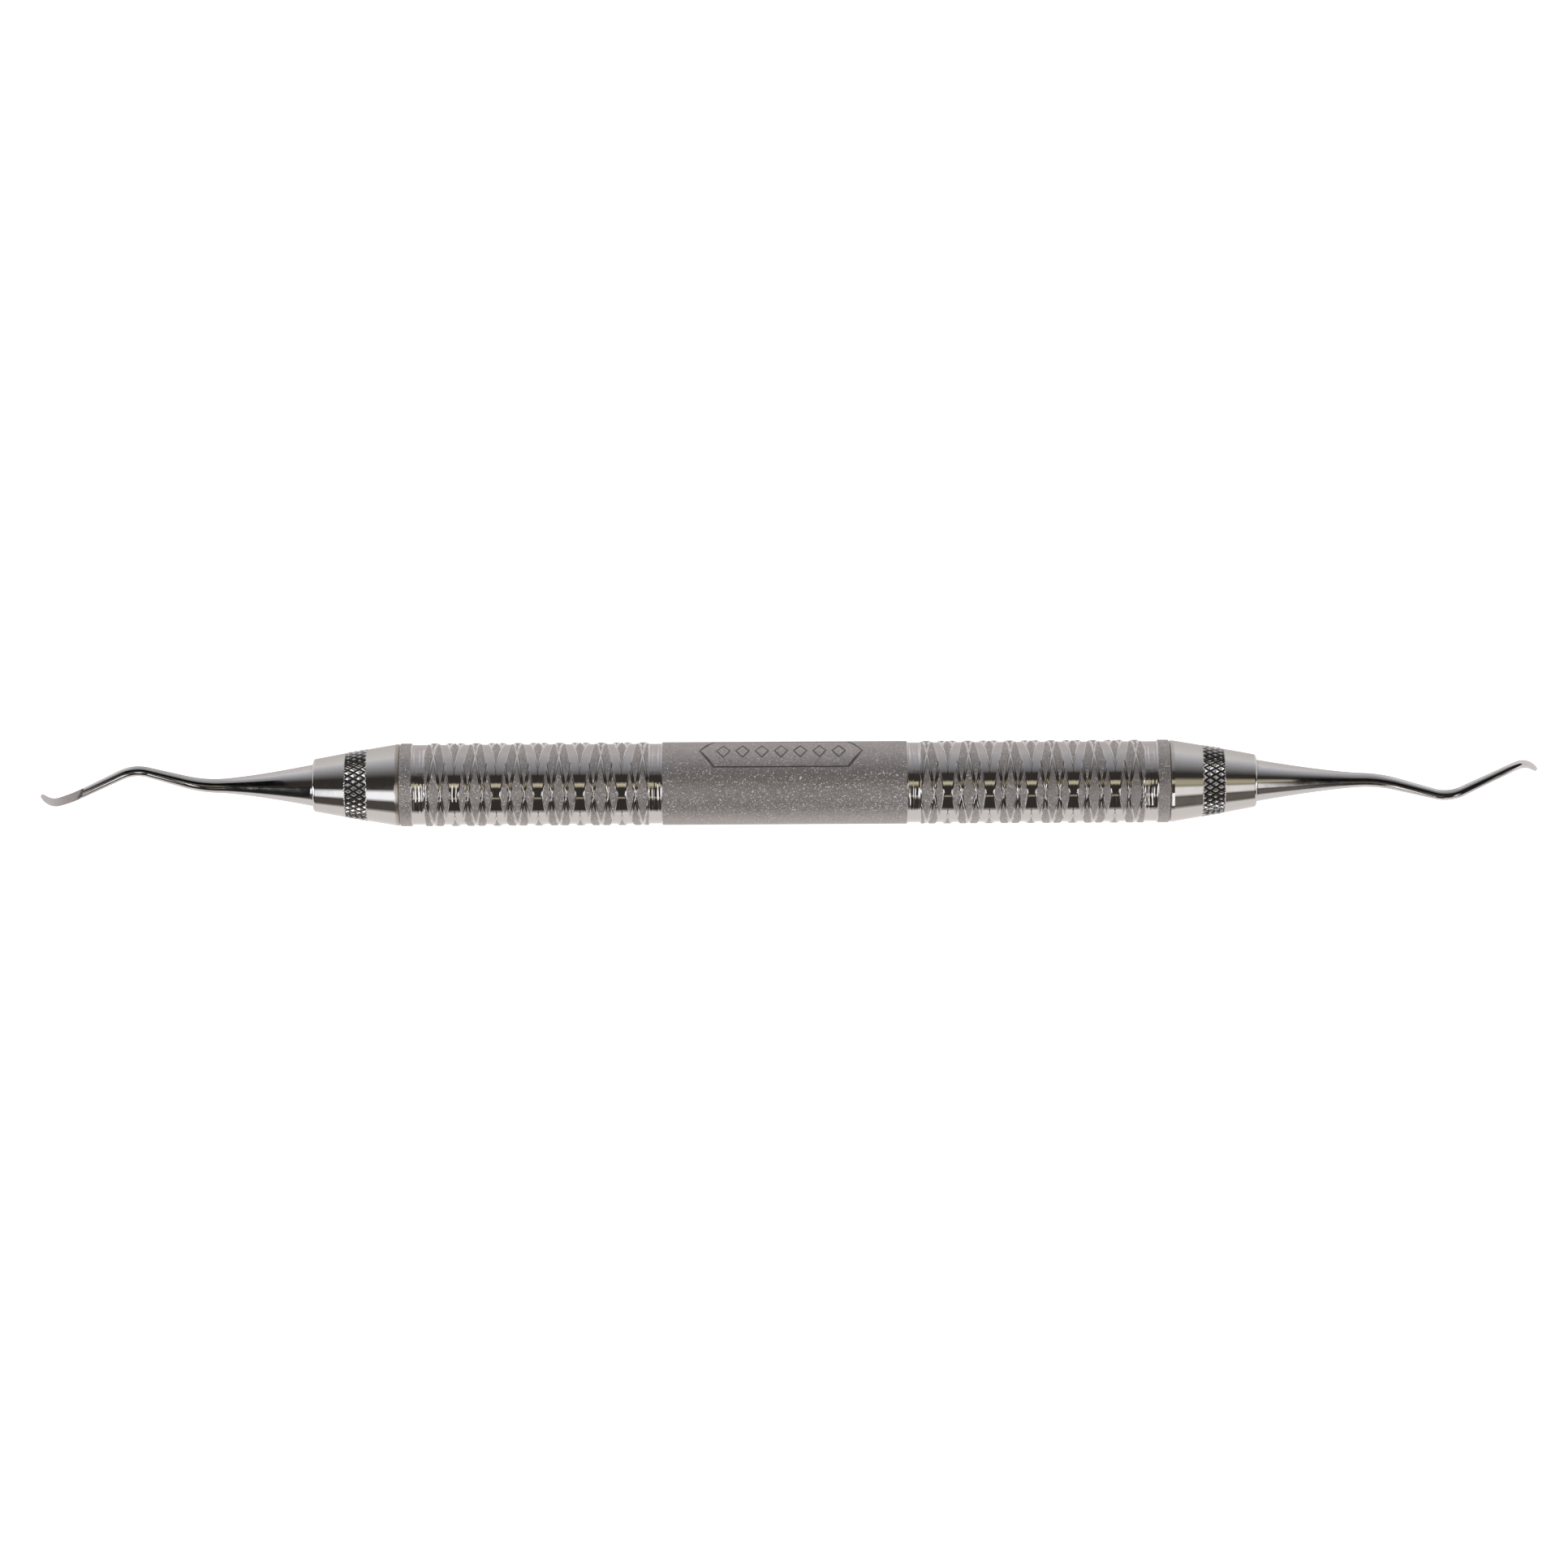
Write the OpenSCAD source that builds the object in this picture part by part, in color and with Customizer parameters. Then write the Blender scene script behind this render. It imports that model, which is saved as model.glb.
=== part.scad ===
// Double-ended hand scaler: a hollow, large-diameter handle with a screw-in cone socket
// and a bent working end at each end. The origin is on the handle's axis at mid-length.
// +X runs along the handle, and +Z is up when the scaler lies on a table with both
// working ends bent in the horizontal plane.

/* [Handle] */
// Length of the handle tube
handle_len = 88.2; // [80:0.1:100]
// Outside diameter of the handle
handle_d = 9.5; // [9:0.1:10.5]
// Wall thickness of the handle tube
handle_wall = 1.0; // [0.9:0.1:1.1]
// Length of the plain satin section in the middle of the handle
centre_len = 28; // [20:0.5:36]
// Length of the satin band at each end of the handle
end_band_len = 1.35; // [1:0.05:3]
// Width of the turned run-out groove at each end of a grip zone
runout_w = 1.6; // [1:0.1:2]
// Depth of the turned grooves in the grip
groove_depth = 0.16; // [0.1:0.02:0.3]
// Chamfer on the ends of the handle
handle_chamfer = 0.12; // [0.05:0.01:0.2]

/* [Cone sockets] */
// Length of a cone socket outside the handle
cone_len = 10; // [9:0.1:12]
// Diameter of the short cylindrical land next to the handle
land_d = 9.34; // [9:0.02:9.4]
// Length of the land
land_len = 0.45; // [0.3:0.05:0.8]
// Diameter of the cone's front face
cone_face_d = 6.1; // [5.8:0.1:6.6]
// Radius of the round between the cone and its front face
cone_edge_r = 0.3; // [0.1:0.05:0.4]
// Distance from the handle to the knurled band
knurl_start = 3.75; // [3:0.05:4.5]
// Width of the knurled band
knurl_w = 2.6; // [2:0.1:3]
// Height of the knurl's crests above the cone
knurl_h = 0.06; // [0.02:0.01:0.1]

/* [Screw joint] */
// Major diameter of the thread between a cone socket and its bush
thread_d = 5; // [4.8:0.1:5.2]
// Pitch of the thread
thread_pitch = 0.8; // [0.5:0.1:1]
// Length of thread in engagement
thread_len = 6; // [5:0.5:7]
// Gap left all round between parts that turn or slide in each other
running_gap = 0.05; // [0.03:0.01:0.08]
// Length of the threaded bush
bush_len = 8; // [7:0.5:10]
// Depth of the bush's face below the end of the handle
bush_recess = 1.2; // [1.1:0.1:1.6]

/* [Seal] */
// Thickness of the seal ring's cord
seal_cord_d = 1; // [0.8:0.1:1]

/* [Working ends] */
// Diameter of the shank where it leaves the cone socket
shank_base_d = 4.82; // [4.4:0.02:5]
// Diameter of the shank at the end of its flared neck
shank_neck_d = 1.56; // [1.4:0.02:1.7]
// Diameter of the shank at the knee
shank_knee_d = 1.22; // [1.1:0.02:1.3]
// Diameter of the shank at the blade
blade_d = 0.98; // [0.9:0.01:1.1]
// Power of the curve of the flared neck: 1 is a straight cone
flare_power = 1.28; // [1.2:0.02:1.8]
// Angle of the first bend, away from the handle's axis
first_bend = 14.5; // [12:0.1:18]
// Angle of the knee, back across the axis
knee_bend = 39.5; // [36:0.1:42]
// Angle of the slight curve before the left toe
left_blade_bend = 9; // [2:0.5:10]
// Angle of the slight curve before the right toe
right_blade_bend = 3; // [2:0.5:10]
// Angle of the tight curve of the toe
toe_bend = 60; // [40:1:65]
// Radius of the first bend
first_bend_r = 16; // [5:0.5:18]
// Radius of the knee
knee_r = 4.7; // [4:0.1:6]
// Radius of the slight curve before the toe
blade_bend_r = 19.5; // [14:0.5:24]
// Radius of the toe's curve
toe_r = 1.8; // [1.6:0.1:3]
// Length of the tapered tip past the toe's curve
tip_len = 0.3; // [0.3:0.1:0.8]
// Radius of the rounded tip
tip_r = 0.26; // [0.25:0.01:0.4]
// Height of the flat ground face above the middle of the blade
face_h = 0.12; // [0:0.02:0.2]
// Length of the ground face before the toe's curve
face_len = 1.95; // [1.8:0.05:3]
// Radius of the run-out at the start of the ground face
face_runout_r = 0.8; // [0.6:0.1:1]
// Slant of the run-out across the shank
face_slant = 45; // [30:5:50]
// Straight length of the left working end's neck
left_neck_len = 10.8; // [10:0.1:14]
// Straight length between the left end's bends
left_run_len = 4.3; // [4:0.1:6.5]
// Straight length from the left knee to the blade's curve
left_terminal_len = 4.6; // [4:0.1:7]
// Straight length of the right working end's neck
right_neck_len = 12.2; // [10:0.1:14]
// Straight length between the right end's bends
right_run_len = 4.5; // [4:0.1:6.5]
// Straight length from the right knee to the blade's curve
right_terminal_len = 6; // [4:0.1:7]

/* [Tang] */
// Diameter of the tang pressed into the cone socket
tang_d = 3; // [2.4:0.1:3]
// Length of the tang
tang_len = 7.5; // [5:0.5:9]
// Depth of the seat for the base of the shank in the cone's front face
seat_depth = 0.4; // [0.3:0.1:0.6]
// Gap around the base of the shank in its seat
seat_gap = 0.02; // [0.01:0.01:0.04]

/* [Hidden] */
$fn = 64;
bore_d = handle_d - 2 * handle_wall;
zone_end = handle_len / 2 - end_band_len;
zone_start = centre_len / 2;
runout_d = handle_d - 2 * groove_depth;
cone_slope = (land_d - cone_face_d) / 2 / (cone_len - land_len);
spigot_d = thread_d - 2 * running_gap;
thread_depth = 0.6 * thread_pitch;
neck_d = thread_d - 2 * thread_depth;
// A ridge of the thread rises over three steps, is level for two and falls over three
thread_step = thread_pitch / 8;
spigot_len = bush_recess + thread_len;
// The cord fills the space between bush and cone socket, less a gap on each side
seal_mid_r = (spigot_d + bore_d) / 4;
rod_r = blade_d / 2;
face_edge_angle = asin(face_h / rod_r);
// Points on the blade's back, as angles around its section: sides, bevels and spine
side_angle = -22;
spine_angle = -66;
flare_steps = 14;
// A straight laps into the bends at its ends, and stands proud of them by this much
lap = 0.05;
lap_proud = 0.004;
// A cutting solid reaches this far past the solid that it cuts
over = 1;

// Turns a piece drawn along +Z, with z = 0 at the handle's end, to the left end
module at_left_end() {
    translate([-handle_len / 2, 0, 0])
        rotate([0, -90, 0]) children();
}

// Turns a piece drawn along +Z, with z = 0 at the handle's end, to the right end
module at_right_end() {
    translate([handle_len / 2, 0, 0])
        rotate([0, 90, 0]) children();
}

// Half of the handle's outside: satin centre, grip zone between run-out grooves, end band
function half_outline(side) = [
    [side * zone_start, handle_d / 2],
    [side * zone_start, runout_d / 2],
    [side * (zone_start + runout_w), runout_d / 2],
    [side * (zone_start + runout_w), handle_d / 2],
    [side * (zone_end - runout_w), handle_d / 2],
    [side * (zone_end - runout_w), runout_d / 2],
    [side * zone_end, runout_d / 2],
    [side * zone_end, handle_d / 2],
    [side * (handle_len / 2 - handle_chamfer), handle_d / 2],
    [side * handle_len / 2, handle_d / 2 - handle_chamfer],
    [side * handle_len / 2, bore_d / 2]
];

function reversed(list) = [for (i = [len(list) - 1 : -1 : 0]) list[i]];

module handle_tube() {
    outline = concat(half_outline(1), reversed(half_outline(-1)));
    color("darkgray")
        rotate([0, 90, 0])
            rotate_extrude()
                polygon([for (p = outline) [p[1], p[0]]]);
}

// Plug pressed into the tube, with the hole for the cone socket's thread
module thread_bush() {
    color("silver")
        translate([0, 0, -bush_recess - bush_len])
            difference() {
                cylinder(h = bush_len, d = bore_d);
                translate([0, 0, -over])
                    cylinder(h = bush_len + 2 * over, d = thread_d);
            }
}

module seal_ring() {
    color("dimgray")
        translate([0, 0, -bush_recess / 2])
            rotate_extrude()
                translate([seal_mid_r, 0])
                    circle(d = seal_cord_d);
}

function cone_r(z) = land_d / 2 - cone_slope * max(0, z - land_len);

// Outside of the cone socket, from its shoulder on the handle to its front face
function cone_outline() = concat(
    [[land_d / 2 - handle_chamfer, 0], [land_d / 2, handle_chamfer]],
    [[land_d / 2, land_len], [cone_r(knurl_start), knurl_start]],
    [[cone_r(knurl_start) + knurl_h, knurl_start + knurl_h]],
    [[cone_r(knurl_start + knurl_w) + knurl_h, knurl_start + knurl_w - knurl_h]],
    [[cone_r(knurl_start + knurl_w), knurl_start + knurl_w]],
    [for (a = [0 : 15 : 90])
        [cone_face_d / 2 - cone_edge_r * (1 - cos(a)), cone_len - cone_edge_r * (1 - sin(a))]]
);

// One ridge of the spigot's thread, drawn as a ring under the thread's major diameter
function thread_ridge(z) = [
    [neck_d / 2, z],
    [spigot_d / 2, z + 3 * thread_step],
    [spigot_d / 2, z + 5 * thread_step],
    [neck_d / 2, z + thread_pitch]
];

function spigot_outline() = concat(
    [[0, -spigot_len], [neck_d / 2, -spigot_len]],
    [for (z = [-spigot_len : thread_pitch : -bush_recess - thread_pitch]) each thread_ridge(z)],
    [[neck_d / 2, -bush_recess], [spigot_d / 2, -bush_recess], [spigot_d / 2, 0]]
);

module cone_socket() {
    color("lightgray")
        difference() {
            rotate_extrude()
                polygon(concat(spigot_outline(), cone_outline(), [[0, cone_len]]));
            translate([0, 0, cone_len - seat_depth - tang_len])
                cylinder(h = tang_len + seat_depth + over, d = tang_d);
            translate([0, 0, cone_len - seat_depth])
                cylinder(h = seat_depth + over, d = shank_base_d + 2 * seat_gap);
        }
}

// Radius of the flared neck at a distance from the cone's front face
function flare_r(x, neck_len) =
    shank_neck_d / 2 + (shank_base_d - shank_neck_d) / 2 * pow(1 - x / neck_len, flare_power);

// Moves on to the end of a bend; a positive angle turns towards +Y
module past_bend(bend_r, angle) {
    side = sign(angle);
    translate([0, side * bend_r, 0])
        rotate([0, 0, angle])
            translate([0, -side * bend_r, 0])
                children();
}

// Sweeps a section, given as a child, round a bend that starts along +X
module bent(bend_r, angle) {
    side = sign(angle);
    translate([0, side * bend_r, 0])
        rotate([0, 0, side > 0 ? -90 : 90 + angle])
            rotate_extrude(angle = abs(angle))
                translate([bend_r, 0])
                    children();
}

// Straight round length along +X that tapers from one radius to another, with its laps
module taper(length, r_start, r_end) {
    translate([-lap, 0, 0])
        rotate([0, 90, 0])
            cylinder(h = length + 2 * lap, r1 = r_start + lap_proud, r2 = r_end + lap_proud);
}

// Section of the ground blade: flat face on top, round sides, two bevels and a round spine
module blade_section() {
    right = concat([for (i = [0 : 3]) face_edge_angle + (side_angle - face_edge_angle) * i / 3],
        [for (i = [0 : 2]) spine_angle + (-90 - spine_angle) * i / 3]);
    angles = concat(right, [-90], [for (a = reversed(right)) -180 - a]);
    polygon([for (a = angles) rod_r * [cos(a), sin(a)]]);
}

// What the grinding wheel takes off above the face, with a slanted run-out at its start
module face_cut() {
    cut_len = 6;
    cut_w = 12;
    cut_h = 2;
    rotate([0, 0, face_slant]) {
        translate([0, 0, face_h + face_runout_r])
            rotate([90, 0, 0])
                cylinder(h = cut_w, r = face_runout_r, center = true);
        translate([0, -cut_w / 2, face_h])
            cube([cut_len, cut_w, cut_h]);
    }
}

// Tang, shoulder and flared neck, as the outline of a turned piece along +X
module neck(neck_len) {
    flare = [for (i = [0 : flare_steps]) i * neck_len / flare_steps];
    rotate([0, 90, 0])
        rotate_extrude()
            polygon(concat(
                [[0, -seat_depth - tang_len], [tang_d / 2, -seat_depth - tang_len]],
                [[tang_d / 2, -seat_depth], [shank_base_d / 2, -seat_depth]],
                [for (x = flare) [flare_r(x, neck_len), x]],
                [[shank_neck_d / 2 + lap_proud, neck_len]],
                [[shank_neck_d / 2 + lap_proud, neck_len + lap], [0, neck_len + lap]]));
}

// The whole piece, bent in the XY plane
module working_end(neck_len, run_len, terminal_len, blade_bend) {
    color("gainsboro") {
        neck(neck_len);
        translate([neck_len, 0, 0]) {
            bent(first_bend_r, first_bend)
                circle(d = shank_neck_d);
            past_bend(first_bend_r, first_bend) {
                taper(run_len, shank_neck_d / 2, shank_knee_d / 2);
                translate([run_len, 0, 0]) {
                    bent(knee_r, -knee_bend)
                        circle(d = shank_knee_d);
                    past_bend(knee_r, -knee_bend)
                        terminal(terminal_len, blade_bend);
                }
            }
        }
    }
}

// Straight end of the shank, and the blade with its ground face
module terminal(terminal_len, blade_bend) {
    blade_arc = blade_bend_r * blade_bend * PI / 180;
    difference() {
        union() {
            taper(terminal_len, shank_knee_d / 2, rod_r);
            translate([terminal_len, 0, 0])
                bent(blade_bend_r, blade_bend)
                    circle(r = rod_r);
        }
        translate([terminal_len + blade_arc - face_len, 0, 0])
            face_cut();
    }
    translate([terminal_len, 0, 0])
        past_bend(blade_bend_r, blade_bend) {
            toe_root();
            bent(toe_r, toe_bend)
                blade_section();
            past_bend(toe_r, toe_bend)
                tip();
        }
}

// Thin collar that joins the ground length to the toe, level with the face
module toe_root() {
    difference() {
        taper(0, rod_r, rod_r);
        translate([-over, -over, face_h])
            cube([2 * over, 2 * over, over]);
    }
}

// Tapered and rounded end of the blade, cut off level with its face
module tip() {
    round_off = [for (a = [0 : 15 : 90]) [tip_r * cos(a), tip_len + tip_r * sin(a)]];
    difference() {
        rotate([0, 90, 0])
            rotate_extrude()
                polygon(concat([[0, -lap], [rod_r + lap_proud, -lap]], round_off));
        translate([-over, -over, face_h])
            cube([3 * over, 2 * over, over]);
    }
}

module left_thread_bush() {
    at_left_end() thread_bush();
}

module right_thread_bush() {
    at_right_end() thread_bush();
}

module left_seal_ring() {
    at_left_end() seal_ring();
}

module right_seal_ring() {
    at_right_end() seal_ring();
}

module left_cone_socket() {
    at_left_end() cone_socket();
}

module right_cone_socket() {
    at_right_end() cone_socket();
}

// The two ends mirror each other: the left one shows its ground face upwards
module left_working_end() {
    translate([-handle_len / 2 - cone_len, 0, 0])
        mirror([1, 0, 0])
            working_end(left_neck_len, left_run_len, left_terminal_len, left_blade_bend);
}

module right_working_end() {
    translate([handle_len / 2 + cone_len, 0, 0])
        rotate([180, 0, 0])
            working_end(right_neck_len, right_run_len, right_terminal_len, right_blade_bend);
}

handle_tube();
left_thread_bush();
right_thread_bush();
left_seal_ring();
right_seal_ring();
left_cone_socket();
right_cone_socket();
left_working_end();
right_working_end();
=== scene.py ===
"""Looks of a double-ended hand scaler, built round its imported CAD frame.

Lengths in the mesh code are in millimetres, in the CAD's own frame: +X along the handle, +Z up.
Angles round the handle's axis are measured from +Z towards +Y.
"""
import math

import bmesh
import bpy
from mathutils import Matrix, Vector
from mathutils.geometry import delaunay_2d_cdt


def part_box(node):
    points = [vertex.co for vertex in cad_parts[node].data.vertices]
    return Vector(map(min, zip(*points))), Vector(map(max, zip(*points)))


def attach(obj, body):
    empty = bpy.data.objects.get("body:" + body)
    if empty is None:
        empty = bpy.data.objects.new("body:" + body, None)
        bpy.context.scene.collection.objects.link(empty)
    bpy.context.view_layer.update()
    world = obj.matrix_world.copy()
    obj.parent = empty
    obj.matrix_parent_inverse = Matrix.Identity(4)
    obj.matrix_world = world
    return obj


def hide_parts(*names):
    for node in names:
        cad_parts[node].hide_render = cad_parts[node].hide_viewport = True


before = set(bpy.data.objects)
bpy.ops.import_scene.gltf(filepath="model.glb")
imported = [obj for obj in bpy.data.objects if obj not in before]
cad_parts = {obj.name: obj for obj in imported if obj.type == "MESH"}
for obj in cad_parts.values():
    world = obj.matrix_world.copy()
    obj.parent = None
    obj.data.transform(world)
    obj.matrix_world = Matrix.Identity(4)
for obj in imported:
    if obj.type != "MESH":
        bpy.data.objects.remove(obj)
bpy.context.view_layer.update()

MM = 0.001
TURN = 2 * math.pi

# ---------------------------------------------------------------- sizes from the frame
tube_low, tube_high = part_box("handle_tube")
HANDLE_HALF = round(tube_high.x / MM, 3)
HANDLE_R = round(tube_high.y / MM, 3)
cone_low, cone_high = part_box("right_cone_socket")
CONE_LEN = round(cone_high.x / MM - HANDLE_HALF, 3)
SPIGOT_LEN = round(HANDLE_HALF - cone_low.x / MM, 3)
bush_low, bush_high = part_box("right_thread_bush")
BUSH_RECESS = round(HANDLE_HALF - bush_high.x / MM, 3)
BUSH_LEN = round((bush_high.x - bush_low.x) / MM, 3)
BORE_R = round(bush_high.y / MM, 3)
seal_low, seal_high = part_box("right_seal_ring")
SEAL_CORD_R = (seal_high.x - seal_low.x) / MM / 2
SEAL_MID_R = seal_high.y / MM - SEAL_CORD_R

# ---------------------------------------------------------------- details, in millimetres
CENTRE_HALF = 14.0
END_BAND = 1.35
RUNOUT_W = 1.6
GROOVE_DEPTH = 0.165
FILLET = 0.16
CHAMFER = 0.12

# The grip: three starts of helical groove in each hand, one wide and two narrow
PITCH = 4.783
NARROW_AT = 0.825
NARROW_HALF = 0.18
WIDE_HALF = 0.535
PATTERN_X = 30.6
PATTERN_TURN = math.radians(-16)
MARK_X = -0.4
ZONE_MIDDLE = (CENTRE_HALF + HANDLE_HALF - END_BAND) / 2
ZONE_HALF = (HANDLE_HALF - END_BAND - CENTRE_HALF) / 2

LAND_R = 4.67
LAND_LEN = 0.45
CONE_FACE_R = 3.05
EDGE_R = 0.3
KNURL_START = 3.75
KNURL_W = 2.6
KNURL_COUNT = 32
KNURL_STEP = 1.3
KNURL_CREST = 0.06
KNURL_ROOT = 0.19

THREAD_PITCH = 0.8
THREAD_ROOT_R = 2.02
THREAD_CREST_R = 2.45
THREAD_GAP = 0.05
SEAT_R = 2.43
SEAT_DEPTH = 0.4
TANG_R = 1.5
TANG_LEN = 7.5
TANG_BEVEL = 0.15

SHANK_BASE_R = 2.41
SHANK_NECK_R = 0.82
SHANK_RUN_R = 0.71
SHANK_KNEE_R = 0.59
BLADE_R = 0.49
FLARE_POWER = 1.33
FIRST_BEND = (16.0, 14.5)
KNEE = (4.7, -39.5)
BLADE_CURVE_R = 19.5
TOE = (1.8, 60.0)
TOE_END_R = 0.27
TIP_LEN = 0.3
TIP_R = 0.26
# Each working end's straight lengths (neck, run between the bends, run to the blade), and the
# angle of its blade's slight curve
ENDS = {"left": (10.8, 4.3, 4.6, 9.0), "right": (12.2, 4.5, 6.0, 3.0)}
FACE_H = 0.12
FACE_LEN = 1.95
FACE_SLANT = math.radians(45)
FACE_RUNOUT_R = 0.8
# Distances from the handle's middle, in metres, between which the ground steel turns duller
TOE_DULLS = (0.0825, 0.0845)
# Name of the vertex values that say how far up its run-out the ground face is, from 0 to 1
RUN_OUT = "run_out"
# The two bevels of the blade's back open out from here and meet in a ridge, measured from the toe
BEVEL_FROM = -2.3
RIDGE_FROM = 0.5


# ---------------------------------------------------------------- mesh helpers
def point(x, r, angle):
    """A point at radius r round the handle's axis, angle measured from +Z towards +Y."""
    return (x, r * math.sin(angle), r * math.cos(angle))


def even_angles(count):
    return [TURN * i / count for i in range(count)]


def ring(bm, x, r, angles):
    """A loop of (angle, vertex); r is one radius, or a list with one for each angle."""
    radii = r if isinstance(r, list) else [r] * len(angles)
    return [(a, bm.verts.new(point(x, rr, a))) for a, rr in zip(angles, radii)]


def add_face(bm, verts, material):
    face = bm.faces.new(verts)
    face.material_index = material
    face.smooth = True
    return face


def skin(bm, first, second, material):
    """Quads between two rings with the same angles."""
    count = len(first)
    for i in range(count):
        j = (i + 1) % count
        add_face(bm, (first[i][1], second[i][1], second[j][1], first[j][1]), material)


def zipper(bm, first, second, material):
    """Triangles between two rings with different angles, both sorted from zero."""
    i = j = 0
    count_i, count_j = len(first), len(second)

    def at(loop, k):
        return loop[k % len(loop)][0] + TURN * (k // len(loop))

    while i < count_i or j < count_j:
        step_first = j == count_j or (i < count_i and at(first, i + 1) <= at(second, j + 1))
        a, b = first[i % count_i][1], second[j % count_j][1]
        if step_first:
            add_face(bm, (a, b, first[(i + 1) % count_i][1]), material)
            i += 1
        else:
            add_face(bm, (a, b, second[(j + 1) % count_j][1]), material)
            j += 1


def join(bm, first, second, material):
    if len(first) == len(second):
        skin(bm, first, second, material)
    else:
        zipper(bm, first, second, material)


def rings_along(bm, outline, angles, start=None):
    """Turned surface through (x, r, material) points; each material is for the band that ends there."""
    last = start
    for x, r, material in outline:
        new = ring(bm, x, r, angles)
        if last is not None:
            join(bm, last, new, material)
        last = new
    return last


def cap(bm, loop, x, material):
    """Closes a loop with a fan to a point on the axis."""
    tip = bm.verts.new((x, 0, 0))
    for i in range(len(loop)):
        add_face(bm, (loop[i][1], loop[(i + 1) % len(loop)][1], tip), material)


def finish_piece(bm, name, body, node, materials, sharp_deg=28, flip=None):
    """Turns a bmesh in millimetres into a piece that rides on a body and stands for a node."""
    if flip is not None:
        bmesh.ops.transform(bm, matrix=flip, verts=bm.verts)
    bmesh.ops.recalc_face_normals(bm, faces=bm.faces)
    mesh = bpy.data.meshes.new(name)
    bm.to_mesh(mesh)
    bm.free()
    mesh.transform(Matrix.Scale(MM, 4))
    mesh.set_sharp_from_angle(angle=math.radians(sharp_deg))
    for material in materials:
        mesh.materials.append(material)
    piece = bpy.data.objects.new(name, mesh)
    bpy.context.scene.collection.objects.link(piece)
    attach(piece, body)
    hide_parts(node)
    return piece


# The left end is the right end turned half round the vertical axis
TO_LEFT = Matrix.Rotation(math.pi, 4, "Y")


# ---------------------------------------------------------------- materials
class Nodes:
    """A node tree that is built up from small calls."""

    def __init__(self, tree):
        self.tree = tree

    def node(self, kind, **values):
        node = self.tree.nodes.new(kind)
        for key, value in values.items():
            setattr(node, key, value)
        return node

    def link(self, source, target):
        if hasattr(source, "links"):
            self.tree.links.new(source, target)
        else:
            target.default_value = source

    def math(self, operation, *inputs):
        node = self.node("ShaderNodeMath", operation=operation)
        for socket, value in zip(node.inputs, inputs):
            self.link(value, socket)
        return node.outputs[0]

    def span(self, value, low, high, to_low=0.0, to_high=1.0):
        """Maps low..high to to_low..to_high, and holds the ends."""
        node = self.node("ShaderNodeMapRange")
        for socket, entry in zip(node.inputs, (value, low, high, to_low, to_high)):
            self.link(entry, socket)
        return node.outputs[0]

    def mix(self, amount, first, second):
        node = self.node("ShaderNodeMix", data_type="RGBA")
        self.link(amount, node.inputs[0])
        self.link(first, node.inputs[6])
        self.link(second, node.inputs[7])
        return node.outputs[2]


class Shader(Nodes):
    """A node material, with the place on the piece as its starting point."""

    def __init__(self, name):
        self.material = bpy.data.materials.new(name)
        self.material.use_nodes = True
        super().__init__(self.material.node_tree)
        self.bsdf = self.tree.nodes["Principled BSDF"]
        coords = self.node("ShaderNodeTexCoord")
        self.place = coords.outputs["Object"]
        split = self.node("ShaderNodeSeparateXYZ")
        self.link(self.place, split.inputs[0])
        self.x, self.y, self.z = split.outputs

    def vector(self, x, y, z):
        node = self.node("ShaderNodeCombineXYZ")
        for socket, value in zip(node.inputs, (x, y, z)):
            self.link(value, socket)
        return node.outputs[0]

    def noise(self, scale, detail=2.0, place=None, rough=0.5):
        """Noise with about scale cells a metre."""
        node = self.node("ShaderNodeTexNoise")
        self.link(place or self.place, node.inputs["Vector"])
        node.inputs["Scale"].default_value = scale
        node.inputs["Detail"].default_value = detail
        node.inputs["Roughness"].default_value = rough
        return node.outputs["Fac"]

    def bump(self, height, distance, strength=1.0, normal=None):
        node = self.node("ShaderNodeBump")
        self.link(height, node.inputs["Height"])
        node.inputs["Distance"].default_value = distance
        node.inputs["Strength"].default_value = strength
        if normal is not None:
            self.link(normal, node.inputs["Normal"])
        return node.outputs[0]

    def around(self):
        """Angle round the handle's axis, in radians."""
        return self.math("ARCTAN2", self.y, self.z)

    def metal(self, color, roughness, normal=None, spread=0.0):
        """Sets the metal's values; spread stretches its highlights along the handle."""
        self.link(color, self.bsdf.inputs["Base Color"])
        self.link(roughness, self.bsdf.inputs["Roughness"])
        self.bsdf.inputs["Metallic"].default_value = 1.0
        if normal is not None:
            self.link(normal, self.bsdf.inputs["Normal"])
        if spread:
            tangent = self.node("ShaderNodeTangent", direction_type="RADIAL", axis="X")
            self.link(tangent.outputs[0], self.bsdf.inputs["Tangent"])
            self.bsdf.inputs["Anisotropic"].default_value = spread
            self.bsdf.inputs["Anisotropic Rotation"].default_value = 0.25
        return self.material


def rgb(red, green, blue):
    return (red, green, blue, 1.0)


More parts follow.
